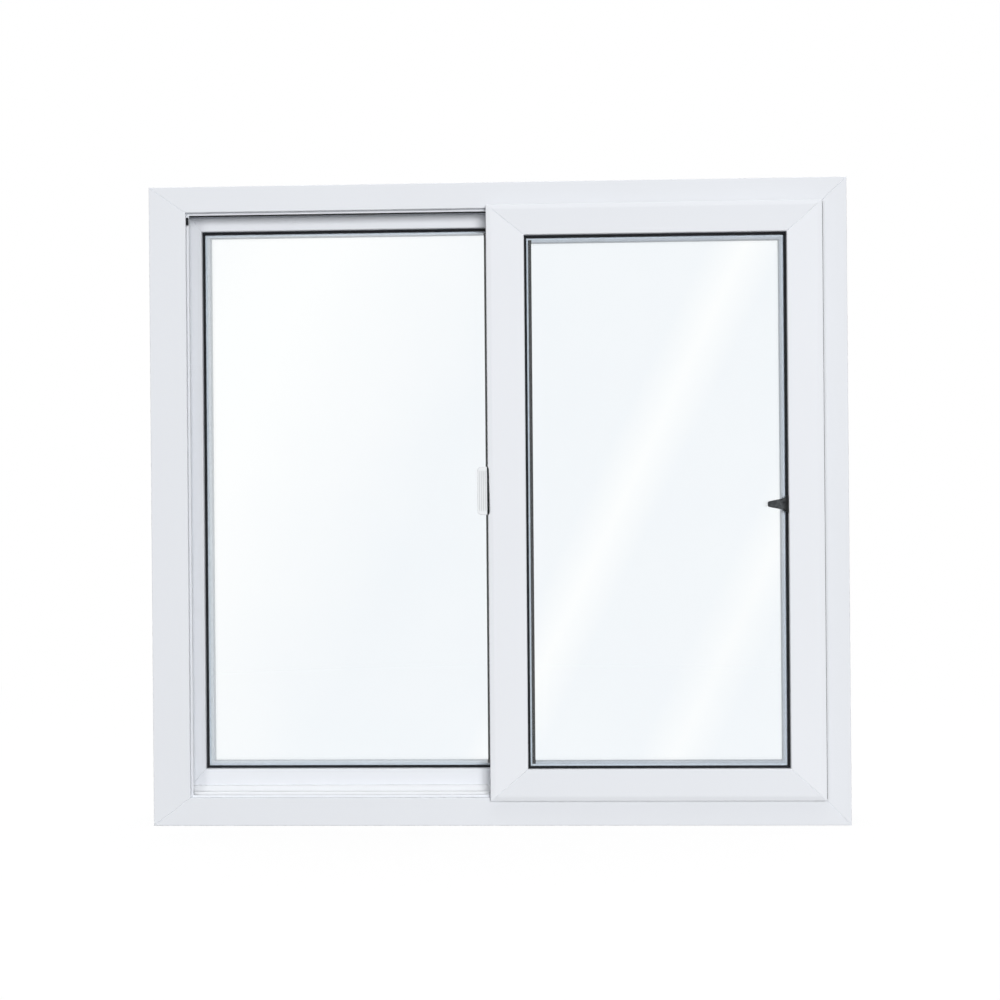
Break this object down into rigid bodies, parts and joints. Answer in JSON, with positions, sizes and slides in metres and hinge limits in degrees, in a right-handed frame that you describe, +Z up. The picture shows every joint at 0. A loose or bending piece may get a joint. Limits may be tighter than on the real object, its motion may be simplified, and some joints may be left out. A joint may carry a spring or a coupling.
{
  "type": "horizontal sliding window",
  "caption": "White plastic sliding window: a sash on rollers runs along the sill track in front of a fixed light, both double glazed in a mitred outer frame.",
  "frame": {"origin": "on the sill's underside, at mid-width and mid-depth of the outer frame", "axes": "+X along the width, from the fixed light to the sliding sash; +Y from the room side to the outside; +Z up"},
  "size_m": [1.2, 0.116, 1.106],
  "materials": {
    "white_profile": "satin white extruded plastic",
    "white_track": "satin white extruded plastic",
    "white_pull": "satin white moulded plastic",
    "guide_plastic": "pale grey moulded plastic",
    "black_gasket": "matt black rubber",
    "edge_sealant": "pale grey sealant",
    "spacer_metal": "mill aluminium",
    "clear_glass": "clear float glass",
    "black_latch": "fine-grained charcoal plastic",
    "roller_plastic": "grey nylon",
    "carriage_steel": "zinc-plated steel"
  },
  "bodies": {
    "root": {"finger_pull": "white_pull", "fixed_bead_bottom": "white_profile", "fixed_bead_left": "white_profile", "fixed_bead_right": "white_profile", "fixed_bead_top": "white_profile", "fixed_bottom_rail": "white_profile", "fixed_edge_sealant": "edge_sealant", "fixed_front_gasket": "black_gasket", "fixed_front_pane": "clear_glass", "fixed_left_stile": "white_profile", "fixed_meeting_stile": "white_profile", "fixed_rear_gasket": "black_gasket", "fixed_rear_pane": "clear_glass", "fixed_spacer_bar": "spacer_metal", "fixed_top_rail": "white_profile", "frame_head": "white_profile", "frame_left_jamb": "white_profile", "frame_right_jamb": "white_profile", "frame_sill": "white_profile", "head_pile_strip": "black_gasket", "interlock_strip": "guide_plastic", "latch_base": "black_latch", "latch_lever": "black_latch", "pull_liner": "black_gasket", "roller_carriage_left": "carriage_steel", "roller_carriage_right": "carriage_steel", "roller_wheel_left": "roller_plastic", "roller_wheel_right": "roller_plastic", "sash_bead_bottom": "white_profile", "sash_bead_left": "white_profile", "sash_bead_right": "white_profile", "sash_bead_top": "white_profile", "sash_bottom_rail": "white_profile", "sash_closing_stile": "white_profile", "sash_edge_sealant": "edge_sealant", "sash_flange_seal": "black_gasket", "sash_front_gasket": "black_gasket", "sash_front_pane": "clear_glass", "sash_meeting_stile": "white_profile", "sash_rear_gasket": "black_gasket", "sash_rear_pane": "clear_glass", "sash_spacer_bar": "spacer_metal", "sash_top_rail": "white_profile", "sill_track": "white_track", "top_guide_left": "guide_plastic", "top_guide_right": "guide_plastic"}
  },
  "joints": []
}
